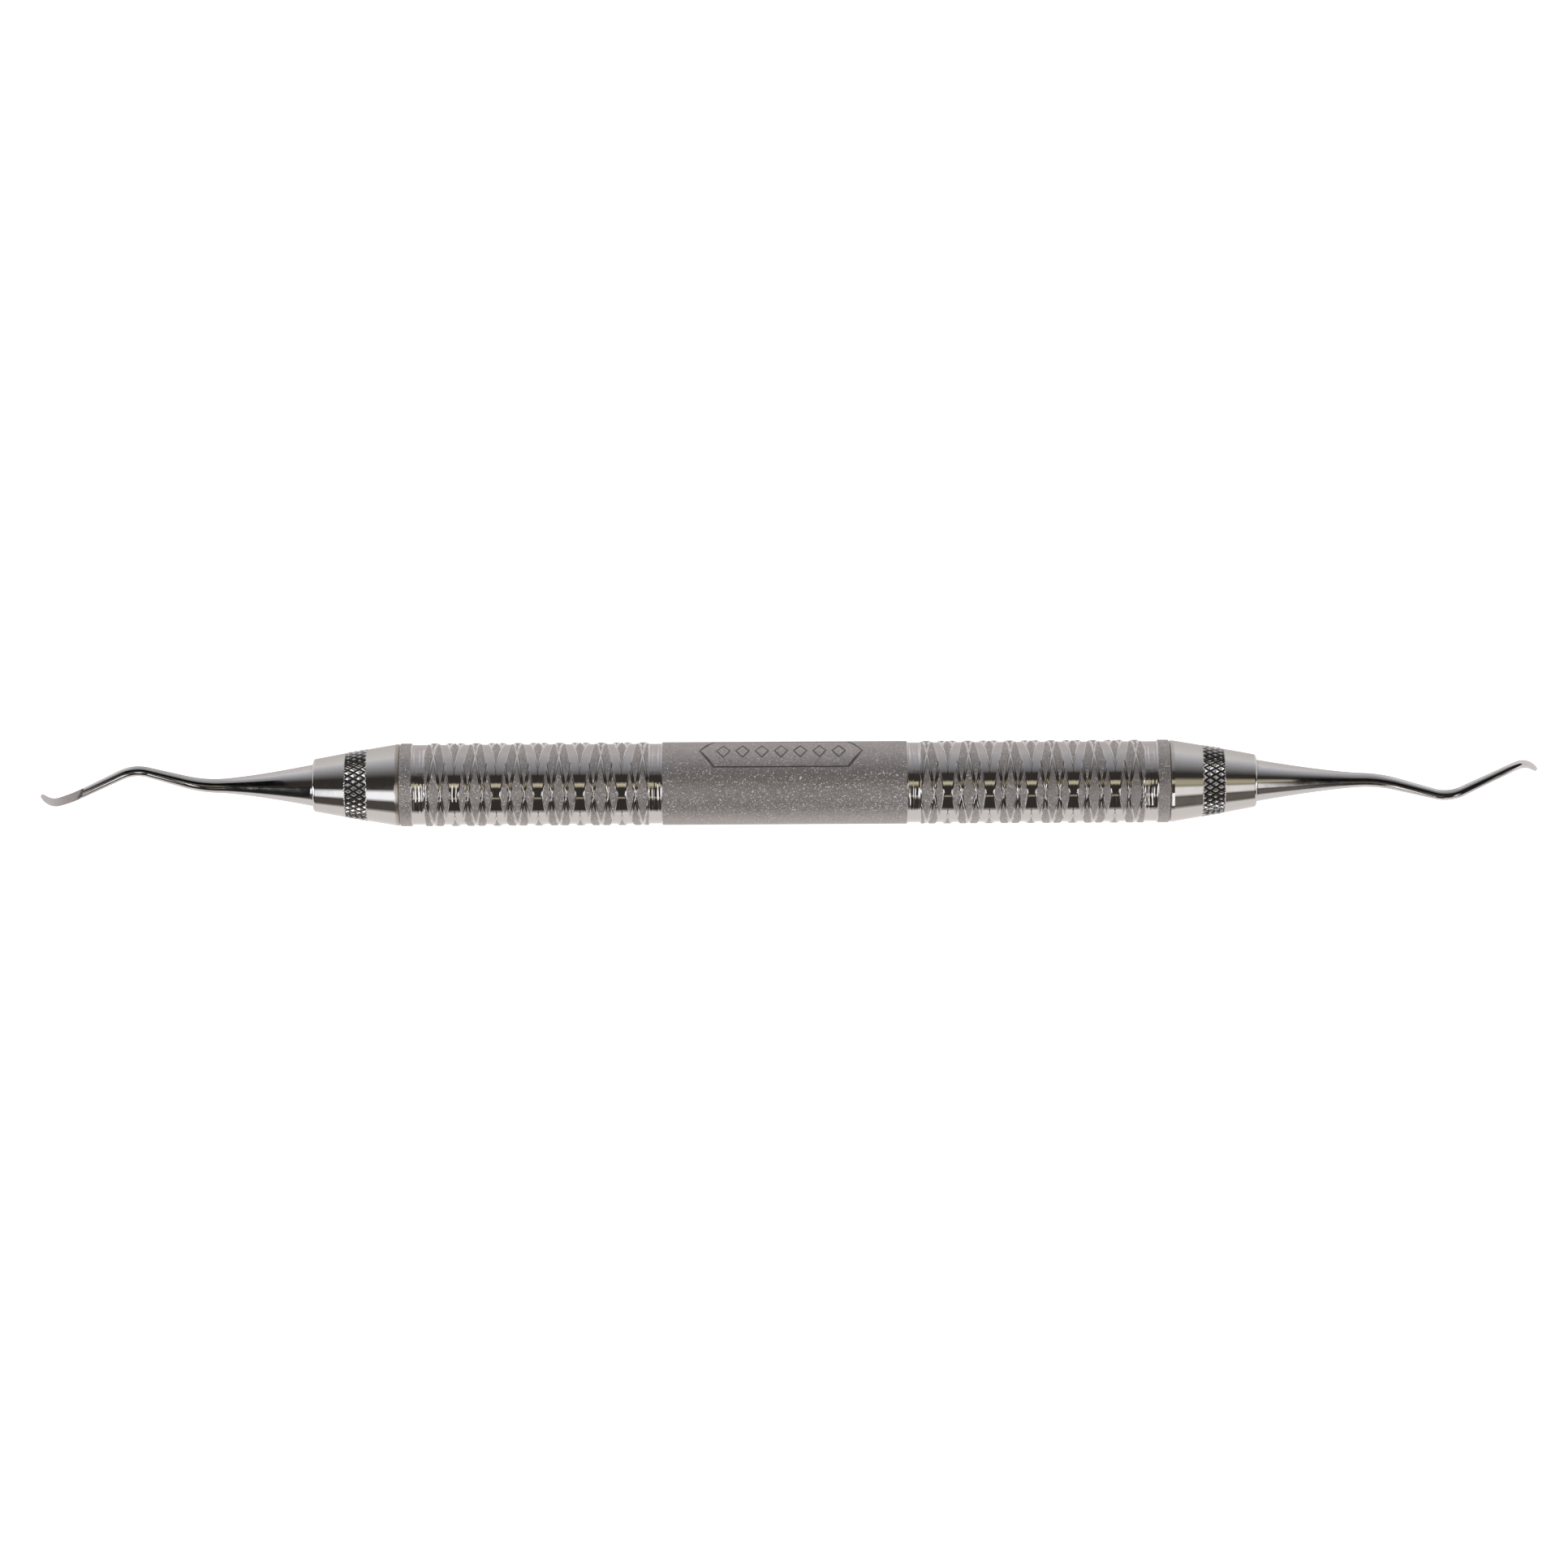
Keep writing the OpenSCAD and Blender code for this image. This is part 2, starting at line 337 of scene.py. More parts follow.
def satin_steel():
    """Bead-blasted steel: tiny dents, faint clouds of tone, and a few facets that catch the light."""
    s = Shader("satin_steel")
    dents = s.noise(9000, 2.0)
    clouds = s.noise(700, 3.0)
    cells = s.node("ShaderNodeTexVoronoi", feature="F1")
    s.link(s.place, cells.inputs["Vector"])
    cells.inputs["Scale"].default_value = 9500
    pick = s.node("ShaderNodeSeparateColor")
    s.link(cells.outputs["Color"], pick.inputs[0])
    facet = s.math("GREATER_THAN", pick.outputs[0], 0.82)
    tilt = s.node("ShaderNodeVectorMath", operation="MULTIPLY_ADD")
    s.link(cells.outputs["Color"], tilt.inputs[0])
    tilt.inputs[1].default_value = (0.9, 0.9, 0.9)
    tilt.inputs[2].default_value = (-0.45, -0.45, -0.45)
    share = s.node("ShaderNodeVectorMath", operation="SCALE")
    s.link(tilt.outputs[0], share.inputs[0])
    s.link(facet, share.inputs["Scale"])
    lean = s.node("ShaderNodeVectorMath", operation="ADD")
    s.link(share.outputs[0], lean.inputs[0])
    s.link(s.bump(dents, 0.00004, 0.9), lean.inputs[1])
    normal = s.node("ShaderNodeVectorMath", operation="NORMALIZE")
    s.link(lean.outputs[0], normal.inputs[0])
    grain = s.span(s.noise(6500, 2.0), 0.3, 0.7)
    tone = s.math("ADD", s.math("MULTIPLY", clouds, 0.4), s.math("MULTIPLY", grain, 0.6))
    color = s.mix(tone, rgb(0.35, 0.33, 0.325), rgb(0.53, 0.50, 0.49))
    color = s.mix(facet, color, rgb(0.52, 0.50, 0.49))
    roughness = s.span(facet, 0.0, 1.0, 0.50, 0.33)
    return s.metal(color, roughness, normal.outputs[0])


def turned_steel(name, tone=(0.62, 0.615, 0.60), roughness=0.075, ridge=0.0, stain=None,
                 spread=0.55):
    """Polished steel with turning marks round the axis.

    ridge is the height of the feed ridges that the tool left in the run-out grooves. stain is how far
    a brown stain reaches from the seam between handle and cone: (full, faded).
    """
    s = Shader(name)
    lanes = s.vector(s.math("MULTIPLY", s.x, 26000), s.math("MULTIPLY", s.around(), 1.2), 0.0)
    marks = s.noise(1.0, 2.0, place=lanes)
    rough = s.span(s.noise(900, 2.0), 0.35, 0.75, roughness, roughness + 0.05)
    color = s.mix(s.span(marks, 0.3, 0.7), rgb(*[0.94 * c for c in tone]), rgb(*tone))
    normal = s.bump(marks, 0.0000012, 0.6)
    if ridge:
        from_zone = s.math("ABSOLUTE", s.math("SUBTRACT", s.math("ABSOLUTE", s.x),
                                              ZONE_MIDDLE * MM))
        in_runout = s.span(from_zone, (ZONE_HALF - RUNOUT_W - 0.2) * MM,
                           (ZONE_HALF - RUNOUT_W + 0.1) * MM, 0.3, 1.0)
        sway = s.math("MULTIPLY", s.noise(400, 1.0), 5.0)
        wave = s.math("SINE", s.math("ADD", s.math("MULTIPLY", s.x, TURN / (0.42 * MM)), sway))
        normal = s.bump(s.math("MULTIPLY", wave, in_runout), ridge, 1.0, normal)
    if stain is not None:
        away = s.math("ABSOLUTE", s.math("SUBTRACT", s.math("ABSOLUTE", s.x), HANDLE_HALF * MM))
        near = s.span(s.math("ADD", away, s.span(s.noise(2500), 0.3, 0.7, 0.0, 0.0001)),
                      stain[0], stain[1], 0.7, 0.0)
        color = s.mix(near, color, rgb(0.40, 0.35, 0.30))
        rough = s.math("ADD", rough, s.math("MULTIPLY", near, 0.35))
    return s.metal(color, rough, normal, spread=spread)


def knurled_steel():
    """Rolled knurling: bright crests, and painted shade in the bottoms of the grooves."""
    s = Shader("knurled_steel")
    slope = (LAND_R - CONE_FACE_R) / (CONE_LEN - LAND_LEN)
    cone = s.math("MULTIPLY_ADD", s.math("ABSOLUTE", s.x), -slope,
                  (LAND_R + slope * (HANDLE_HALF + LAND_LEN)) * MM)
    reach = s.math("SQRT", s.math("ADD", s.math("MULTIPLY", s.y, s.y),
                                  s.math("MULTIPLY", s.z, s.z)))
    deep = s.span(s.math("SUBTRACT", cone, reach), 0.0, 0.13 * MM)
    # Painted shade: the colour falls from bright steel to near black the deeper a point lies below the
    # cone's surface.
    color = s.mix(deep, rgb(0.64, 0.63, 0.62), rgb(0.05, 0.045, 0.04))
    rough = s.span(deep, 0.0, 1.0, 0.13, 0.45)
    return s.metal(color, rough, s.bump(s.noise(16000, 2.0), 0.000003, 0.5))


def polished_shank():
    """Hand-polished steel with long, faint polishing lines."""
    s = Shader("polished_shank")
    lanes = s.vector(s.math("MULTIPLY", s.x, 900), s.math("MULTIPLY", s.y, 14000),
                     s.math("MULTIPLY", s.z, 14000))
    lines = s.noise(1.0, 2.0, place=lanes)
    rough = s.span(s.noise(1100, 2.0), 0.35, 0.7, 0.06, 0.11)
    color = s.mix(s.span(lines, 0.3, 0.7), rgb(0.57, 0.57, 0.575), rgb(0.63, 0.63, 0.63))
    return s.metal(color, rough, s.bump(lines, 0.000002, 0.5))


def ground_steel():
    """Blade faces ground on a fine wheel, with painted shade along the curved start of the face."""
    s = Shader("ground_steel")
    lanes = s.vector(s.math("MULTIPLY", s.math("ADD", s.x, s.math("MULTIPLY", s.y, 1.4)), 30000),
                     s.math("MULTIPLY", s.math("SUBTRACT", s.y, s.x), 2500), 0.0)
    lines = s.noise(1.0, 3.0, place=lanes)
    clouds = s.noise(1500, 2.0)
    color = s.mix(clouds, rgb(0.70, 0.655, 0.66), rgb(0.80, 0.75, 0.75))
    rough = s.span(lines, 0.3, 0.7, 0.42, 0.52)
    steel = s.metal(color, rough, s.bump(lines, 0.000006, 0.7))
    # The wheel left the toe duller, so it takes more of the room's light
    out = s.math("ABSOLUTE", s.x)
    s.link(s.span(out, *TOE_DULLS, 0.95, 0.55), s.bsdf.inputs["Metallic"])
    run_out = s.node("ShaderNodeAttribute", attribute_name=RUN_OUT).outputs["Fac"]
    # Painted shade: up the run-out the base colour falls to near black, standing in for the dark
    # reflection of the curved start of the face.
    painted_runout_shade = s.span(run_out, 0.25, 0.55)
    s.link(s.mix(painted_runout_shade, color, rgb(0.16, 0.15, 0.155)), s.bsdf.inputs["Base Color"])
    return steel


def engraved_steel():
    """Bottom of the engraved frame: darker and rougher than the satin round it."""
    s = Shader("engraved_steel")
    dents = s.noise(9000, 2.0)
    color = s.mix(dents, rgb(0.17, 0.155, 0.145), rgb(0.25, 0.235, 0.22))
    return s.metal(color, s.span(dents, 0.3, 0.7, 0.38, 0.5), s.bump(dents, 0.00001, 0.8))


def seal_rubber():
    s = Shader("seal_rubber")
    bloom = s.noise(2500, 3.0)
    color = s.mix(bloom, rgb(0.018, 0.017, 0.016), rgb(0.045, 0.042, 0.040))
    s.link(color, s.bsdf.inputs["Base Color"])
    s.link(s.span(bloom, 0.3, 0.7, 0.45, 0.65), s.bsdf.inputs["Roughness"])
    s.link(s.bump(s.noise(12000, 2.0), 0.00001, 0.5), s.bsdf.inputs["Normal"])
    return s.material


SATIN = satin_steel()
TURNED = turned_steel("turned_steel")
GROOVED = turned_steel("grooved_steel", tone=(0.62, 0.61, 0.60), roughness=0.05, ridge=0.00001,
                       spread=0.25)
CONE_STEEL = {
    "left": turned_steel("left_cone_steel", stain=(0.0004, 0.0006)),
    "right": turned_steel("right_cone_steel", stain=(0.00005, 0.00025)),
}
KNURLED = knurled_steel()
SHANK = polished_shank()
GROUND = ground_steel()
ENGRAVED = engraved_steel()
RUBBER = seal_rubber()

# ---------------------------------------------------------------- the handle
SATIN_I, TURNED_I, ENGRAVED_I = 0, 1, 2
FLOOR_R = HANDLE_R - GROOVE_DEPTH
SMOOTH_ROUND = even_angles(180)


def groove_depth_at(offset):
    """Depth of one hand's grooves at an offset along the handle from the pattern's centre."""
    offset = (offset + PITCH / 2) % PITCH - PITCH / 2
    away = abs(offset)
    narrow = abs(away - NARROW_AT) / NARROW_HALF
    if narrow < 1:
        return GROOVE_DEPTH * (1 - narrow ** 2)
    wide = (PITCH / 2 - away) - (WIDE_HALF - FILLET)
    if wide <= 0:
        return GROOVE_DEPTH
    if wide < FILLET:
        return GROOVE_DEPTH * (1 - wide / FILLET) ** 2
    return 0.0


def groove_lines():
    """Offsets over one pitch at which mesh lines follow the grooves' edges and curves."""
    half = [
        (0.0, NARROW_AT - NARROW_HALF, 6),
        (NARROW_AT - NARROW_HALF, NARROW_AT + NARROW_HALF, 6),
        (NARROW_AT + NARROW_HALF, PITCH / 2 - WIDE_HALF, 8),
        (PITCH / 2 - WIDE_HALF, PITCH / 2 - WIDE_HALF + FILLET, 3),
        (PITCH / 2 - WIDE_HALF + FILLET, PITCH / 2, 4),
    ]
    lines = [a + (b - a) * i / n for a, b, n in half for i in range(n)]
    return lines + [PITCH / 2] + [PITCH - v for v in reversed(lines[1:])]


def helical_grip(bm, low, high, pattern_x):
    """The grip between low and high: a net of lines that follow both hands of helix."""
    lines = groove_lines()
    count = len(lines)
    lead = PITCH / TURN
    depth = [groove_depth_at(v) for v in lines]
    pad = 0.25
    verts = {}

    def offset(k):
        return lines[k % count] + PITCH * (k // count)

    def place(i, j):
        return pattern_x + (offset(i) + offset(j)) / 2

    def vertex(i, j):
        # Half a turn each way on the two hands meets the same place: (i, j) and (i - count, j + count)
        i, j = i % count, j + count * (i // count)
        if (i, j) not in verts:
            angle = PATTERN_TURN + (offset(j) - offset(i)) / (2 * lead)
            r = HANDLE_R - max(depth[i % count], depth[j % count])
            verts[i, j] = bm.verts.new(point(place(i, j), r, angle))
        return verts[i, j]

    spans = math.ceil(2 * max(abs(low - pattern_x), abs(high - pattern_x)) / PITCH) + 1
    for i in range(count):
        for j in range(-spans * count, spans * count):
            if place(i, j) < low - pad or place(i + 1, j + 1) > high + pad:
                continue
            middle_i = (offset(i) + offset(i + 1)) / 2
            middle_j = (offset(j) + offset(j + 1)) / 2
            raised = groove_depth_at(middle_i) == 0 and groove_depth_at(middle_j) == 0
            corners = (vertex(i, j), vertex(i + 1, j), vertex(i + 1, j + 1), vertex(i, j + 1))
            add_face(bm, corners, SATIN_I if raised else TURNED_I)


def cut_loop(bm, side, x, outward):
    """Cuts one grip net square at x, drops what lies beyond, and returns the cut edge's loop."""
    geometry = [v for v in bm.verts if v.co.x * side > 0]
    geometry += [e for e in bm.edges if e.verts[0].co.x * side > 0]
    geometry += [f for f in bm.faces if f.verts[0].co.x * side > 0]
    cut = bmesh.ops.bisect_plane(bm, geom=geometry, dist=0.00002, plane_co=(x, 0, 0),
                                 plane_no=(outward, 0, 0), clear_outer=True)
    verts = [v for v in cut["geom_cut"] if isinstance(v, bmesh.types.BMVert)]
    loop = sorted(((math.atan2(v.co.y, v.co.z) % TURN, v) for v in verts), key=lambda p: p[0])
    return loop


def runout(bm, grip_loop, grip_x, plain_loop, plain_x):
    """The turned groove between a grip net's cut edge and a plain ring of the handle."""
    step = math.copysign(1, plain_x - grip_x)
    angles = [a for a, v in grip_loop]
    last = grip_loop
    for share in (1 / 3, 2 / 3, 1):
        fillet_r = FLOOR_R + GROOVE_DEPTH * (1 - share) ** 2
        radii = [min(v.co.yz.length, fillet_r) for a, v in grip_loop]
        new = ring(bm, grip_x + step * FILLET * share, radii, angles)
        skin(bm, last, new, TURNED_I)
        last = new
    floor = ring(bm, plain_x - step * FILLET, FLOOR_R, SMOOTH_ROUND)
    zipper(bm, last, floor, TURNED_I)
    wall = [(plain_x - step * FILLET * t, FLOOR_R + GROOVE_DEPTH * (1 - t) ** 2, TURNED_I)
            for t in (2 / 3, 1 / 3)]
    last = rings_along(bm, wall, SMOOTH_ROUND, start=floor)
    skin(bm, last, plain_loop, TURNED_I)


def mark_strokes():
    """A plain decoration: a long six-sided frame round a row of diamonds."""
    half_w, half_h, point_w, line = 9.4, 2.4, 1.6, 0.17
    corners = [(half_w, 0), (half_w - point_w, half_h), (-half_w + point_w, half_h),
               (-half_w, 0), (-half_w + point_w, -half_h), (half_w - point_w, -half_h)]
    inner = [(x * (1 - line / half_w * 1.4), y * (1 - line / half_h)) for x, y in corners]
    strokes = []
    for i in range(6):
        j = (i + 1) % 6
        strokes.append([corners[i], corners[j], inner[j], inner[i]])
    for k in range(-3, 4):
        x, w, h, inset = k * 2.2, 0.85, 1.15, 0.78
        outer = [(x - w, 0), (x, -h), (x + w, 0), (x, h)]
        hollow = [(x + (u - x) * inset, v * inset) for u, v in outer]
        for i in range(4):
            j = (i + 1) % 4
            strokes.append([outer[i], outer[j], hollow[j], hollow[i]])
    return [[Vector((x + MARK_X, y)) for x, y in stroke] for stroke in strokes]


def engraved_patch(bm, columns, rows, corner):
    """The patch of the satin centre that holds the mark, cut a little way into the surface.

    columns and rows are the lines of the net round it; corner(i, j) gives the net's vertices.
    """
    depth = 0.045
    middle = (rows[0] + rows[-1]) / 2
    border = [(i, 0) for i in range(len(columns))]
    border += [(len(columns) - 1, j) for j in range(1, len(rows))]
    border += [(i, len(rows) - 1) for i in range(len(columns) - 2, -1, -1)]
    border += [(0, j) for j in range(len(rows) - 2, 0, -1)]
    points = [Vector((columns[i], (rows[j] - middle) * HANDLE_R)) for i, j in border]
    faces = [list(range(len(points)))]
    for stroke in mark_strokes():
        faces.append(list(range(len(points), len(points) + len(stroke))))
        points += stroke
    for i in range(1, 2 * len(columns) - 2):
        for j in range(1, len(rows) - 1):
            x = columns[0] + (columns[-1] - columns[0]) * i / (2 * len(columns) - 2)
            points.append(Vector((x, (rows[j] - middle) * HANDLE_R)))
    flat, edges, triangles, from_verts, from_edges, from_faces = delaunay_2d_cdt(
        points, [], faces, 0, 1e-6)
    inside = [any(k > 0 for k in source) for source in from_faces]
    levels = {}

    def vertex(k, low):
        for source in from_verts[k]:
            if source < len(border) and not low:
                return corner(*border[source])
        if (k, low) not in levels:
            r = HANDLE_R - (depth if low else 0)
            levels[k, low] = bm.verts.new(point(flat[k].x, r, middle + flat[k].y / HANDLE_R))
        return levels[k, low]

    owner = {}
    for t, triangle in enumerate(triangles):
        add_face(bm, [vertex(k, inside[t]) for k in triangle],
                 ENGRAVED_I if inside[t] else SATIN_I)
        for n in range(3):
            owner[triangle[n], triangle[(n + 1) % 3]] = t
    for (a, b), t in owner.items():
        other = owner.get((b, a))
        if inside[t] and other is not None and not inside[other]:
            add_face(bm, (vertex(a, False), vertex(b, False), vertex(b, True), vertex(a, True)),
                     ENGRAVED_I)


def satin_centre(bm, first, last):
    """The plain middle of the handle between two rings, with the engraved patch let into it."""
    columns = [-11 + i for i in range(23)]
    patch_rows = range(9, 43)
    rings = [first] + [ring(bm, x, HANDLE_R, SMOOTH_ROUND) for x in columns] + [last]
    count = len(SMOOTH_ROUND)
    for k in range(len(rings) - 1):
        for i in range(count):
            if 1 <= k < len(rings) - 2 and i in patch_rows[:-1]:
                continue
            j = (i + 1) % count
            add_face(bm, (rings[k][i][1], rings[k + 1][i][1], rings[k + 1][j][1], rings[k][j][1]),
                     SATIN_I)
    rows = [SMOOTH_ROUND[i] for i in patch_rows]
    engraved_patch(bm, columns, rows, lambda i, j: rings[i + 1][patch_rows[j]][1])
    inner = [v for r in rings[2:-2] for v in (r[i][1] for i in patch_rows[1:-1])]
    bmesh.ops.delete(bm, geom=[v for v in inner if not v.link_faces], context="VERTS")


def build_handle():
    bm = bmesh.new()
    zone_end = HANDLE_HALF - END_BAND
    grips = {}
    for side, pattern in ((1, PATTERN_X), (-1, -PATTERN_X)):
        low, high = sorted((side * (CENTRE_HALF + RUNOUT_W), side * (zone_end - RUNOUT_W)))
        helical_grip(bm, low, high, pattern)
        grips[side] = (low, cut_loop(bm, side, low, -1), high, cut_loop(bm, side, high, 1))
    for side in (1, -1):
        # The second cut can renumber the first loop's vertices, so both are read again
        low, low_loop, high, high_loop = grips[side]
        inner = (low, low_loop) if side > 0 else (high, high_loop)
        outer = (high, high_loop) if side > 0 else (low, low_loop)
        plain_in = ring(bm, side * CENTRE_HALF, HANDLE_R, SMOOTH_ROUND)
        plain_out = ring(bm, side * zone_end, HANDLE_R, SMOOTH_ROUND)
        runout(bm, inner[1], inner[0], plain_in, side * CENTRE_HALF)
        runout(bm, outer[1], outer[0], plain_out, side * zone_end)
        grips[side] = (plain_in, plain_out)
    satin_centre(bm, grips[-1][0], grips[1][0])
    bores = []
    for side in (-1, 1):
        end = side * HANDLE_HALF
        outline = [
            (end - side * CHAMFER, HANDLE_R, SATIN_I),
            (end, HANDLE_R - CHAMFER, SATIN_I),
            (end, BORE_R + 0.1, TURNED_I),
            (end - side * 0.1, BORE_R, TURNED_I),
        ]
        bores.append(rings_along(bm, outline, SMOOTH_ROUND, start=grips[side][1]))
    skin(bm, bores[0], bores[1], TURNED_I)
    return finish_piece(bm, "handle", "handle", "handle_tube",
                        [SATIN, GROOVED, ENGRAVED], sharp_deg=20)


# ---------------------------------------------------------------- cone sockets, bushes and seals
def thread_r(phase):
    """Radius of the screw thread, at a share of its pitch, with flat crests and roots."""
    phase = abs((phase + 0.5) % 1 - 0.5) * 2
    flank = min(max((phase - 0.2) / 0.55, 0), 1)
    return THREAD_CREST_R - (THREAD_CREST_R - THREAD_ROOT_R) * flank


def threaded_rings(bm, start_x, end_x, gap, last, material, lead_in=0.0):
    """A right-hand helical thread as rings of changing radius; gap is positive for the nut."""
    angles = even_angles(72)
    count = round(abs(end_x - start_x) / 0.05)
    for k in range(count + 1):
        x = start_x + (end_x - start_x) * k / count
        radii = []
        for a in angles:
            r = thread_r((x + THREAD_PITCH * a / TURN) / THREAD_PITCH) + gap
            if lead_in:
                r = min(r, THREAD_ROOT_R + max(0, x - min(start_x, end_x)) / lead_in * 0.45)
            radii.append(max(r, THREAD_ROOT_R - 0.02))
        new = ring(bm, x, radii, angles)
        join(bm, last, new, material)
        last = new
    return last


def cone_r(w):
    return LAND_R - (LAND_R - CONE_FACE_R) * max(0, w - LAND_LEN) / (CONE_LEN - LAND_LEN)


def knurl(bm, start_loop, material):
    """Raised diamonds with rounded tops between two hands of V groove."""
    angles = even_angles(KNURL_COUNT * 10)
    rows = 32
    end_bevel = 0.16
    last = start_loop
    for m in range(rows + 1):
        w = KNURL_START + KNURL_W * m / rows
        from_end = min(w - KNURL_START, KNURL_START + KNURL_W - w)
        radii = []
        for a in angles:
            turns, steps = KNURL_COUNT * a / TURN, w / KNURL_STEP
            lift = min(1 - (1 - 2 * abs((turns + hand * steps + 0.5) % 1 - 0.5)) ** 1.7
                       for hand in (1, -1))
            high = -KNURL_ROOT + (KNURL_CREST + KNURL_ROOT) * lift
            radii.append(cone_r(w) + high * min(from_end / end_bevel, 1))
        new = ring(bm, HANDLE_HALF + w, radii, angles)
        join(bm, last, new, material if m else 0)
        last = new
    return last


def build_cone(side):
    bm = bmesh.new()
    base = HANDLE_HALF
    fine = even_angles(192)
    shoulder = [
        (base, THREAD_ROOT_R + 0.4, 2),
        (base, LAND_R - CHAMFER, 0),
        (base + CHAMFER, LAND_R, 0),
        (base + LAND_LEN, LAND_R, 0),
        (base + LAND_LEN + 0.08, cone_r(LAND_LEN + 0.08), 0),
        (base + KNURL_START - 0.06, cone_r(KNURL_START - 0.06), 0),
    ]
    spigot_end = base - SPIGOT_LEN
    start = ring(bm, spigot_end, THREAD_ROOT_R - 0.02, even_angles(72))
    cap(bm, start, spigot_end, 2)
    thread_end = threaded_rings(bm, spigot_end, base - BUSH_RECESS, 0, start, 2, lead_in=0.5)
    neck = rings_along(bm, [(base - BUSH_RECESS + 0.05, THREAD_CREST_R, 2),
                            (base, THREAD_CREST_R, 2)], even_angles(72), start=thread_end)
    outer = rings_along(bm, shoulder[1:], fine, start=neck)
    knurl_end = knurl(bm, outer, 1)
    after = KNURL_START + KNURL_W
    beyond = [(base + after + 0.06, cone_r(after + 0.06), 0)]
    for k in range(7):
        a = math.pi / 2 * k / 6
        beyond.append((base + CONE_LEN - EDGE_R * (1 - math.sin(a)),
                       CONE_FACE_R - EDGE_R * (1 - math.cos(a)), 0))
    seat = base + CONE_LEN - SEAT_DEPTH
    beyond += [
        (base + CONE_LEN, SEAT_R + 0.05, 0),
        (base + CONE_LEN - 0.05, SEAT_R, 0),
        (seat, SEAT_R, 2),
        (seat, TANG_R, 2),
        (seat - TANG_LEN, TANG_R, 2),
    ]
    last = rings_along(bm, beyond, fine, start=knurl_end)
    cap(bm, last, seat - TANG_LEN, 2)
    return finish_piece(bm, f"{side}_cone", f"{side}_tip", f"{side}_cone_socket",
                        [CONE_STEEL[side], KNURLED, TURNED], sharp_deg=22,
                        flip=TO_LEFT if side == "left" else None)


def build_bush(side):
    """The threaded plug inside the handle's end."""
    bm = bmesh.new()
    face = HANDLE_HALF - BUSH_RECESS
    back = face - BUSH_LEN
    angles = even_angles(72)
    outer_r = BORE_R - 0.01
    mouth = ring(bm, face, THREAD_CREST_R + THREAD_GAP + 0.08, angles)
    back_mouth = threaded_rings(bm, face - 0.08, back, THREAD_GAP, mouth, 0)
    outline = [(back, outer_r - 0.15, 0), (back + 0.15, outer_r, 0), (face - 0.15, outer_r, 0),
               (face, outer_r - 0.15, 0)]
    last = rings_along(bm, outline, angles, start=back_mouth)
    skin(bm, last, mouth, 0)
    return finish_piece(bm, f"{side}_bush", "handle", f"{side}_thread_bush",
                        [TURNED], flip=TO_LEFT if side == "left" else None)


def build_seal(side):
    """An O-ring with the fine flash line of its mould round the outside."""
    bm = bmesh.new()
    middle = HANDLE_HALF - BUSH_RECESS / 2
    angles = even_angles(96)
    loops = []
    count = 24
    flash = 0.012
    for k in range(count):
        a = TURN * k / count
        cord_r = SEAL_CORD_R if k in (0, count // 2) else SEAL_CORD_R - flash
        r = SEAL_MID_R + cord_r * math.cos(a)
        loops.append(ring(bm, middle + (SEAL_CORD_R - flash) * math.sin(a), r, angles))
    for k in range(count):
        skin(bm, loops[k], loops[(k + 1) % count], 0)
    return finish_piece(bm, f"{side}_seal", f"{side}_seal", f"{side}_seal_ring",
                        [RUBBER], flip=TO_LEFT if side == "left" else None)


# ---------------------------------------------------------------- working ends
def shank_path(neck, run, terminal, blade_curve):
    """Pieces of the shank's centre line: (length, radius of bend or None, turn in radians)."""
    bends = ((FIRST_BEND, run), (KNEE, terminal), ((BLADE_CURVE_R, blade_curve), 0), (TOE, TIP_LEN))
    pieces = [(neck, None, 0.0)]
    for (bend_r, angle), straight in bends:
        turn = math.radians(angle)
        pieces.append((bend_r * abs(turn), bend_r, turn))
        if straight:
            pieces.append((straight, None, 0.0))
    return pieces


def walk(pieces, s):
    """Position and heading on the centre line at distance s."""
    place, heading = Vector((0.0, 0.0)), 0.0
    for length, radius, turn in pieces:
        part = min(s, length)
        ahead = Vector((math.cos(heading), math.sin(heading)))
        left = Vector((-ahead.y, ahead.x))
        if radius is None:
            place = place + ahead * part
        else:
            t = turn * part / length
            side = math.copysign(1, turn)
            place = place + ahead * radius * math.sin(abs(t))
            place = place + left * side * radius * (1 - math.cos(t))
            heading += t
        s -= part
        if s <= 0:
            break
    if s > 0:
        place = place + Vector((math.cos(heading), math.sin(heading))) * s
    return place, heading


def smooth(t):
    t = min(max(t, 0.0), 1.0)
    return t * t * (3 - 2 * t)


def between(stops, s):
    """Straight-line value at s through (place, value) stops, held after the last."""
    for (s0, v0), (s1, v1) in zip(stops, stops[1:]):
        if s <= s1:
            return v0 + (v1 - v0) * (s - s0) / (s1 - s0)
    return stops[-1][1]


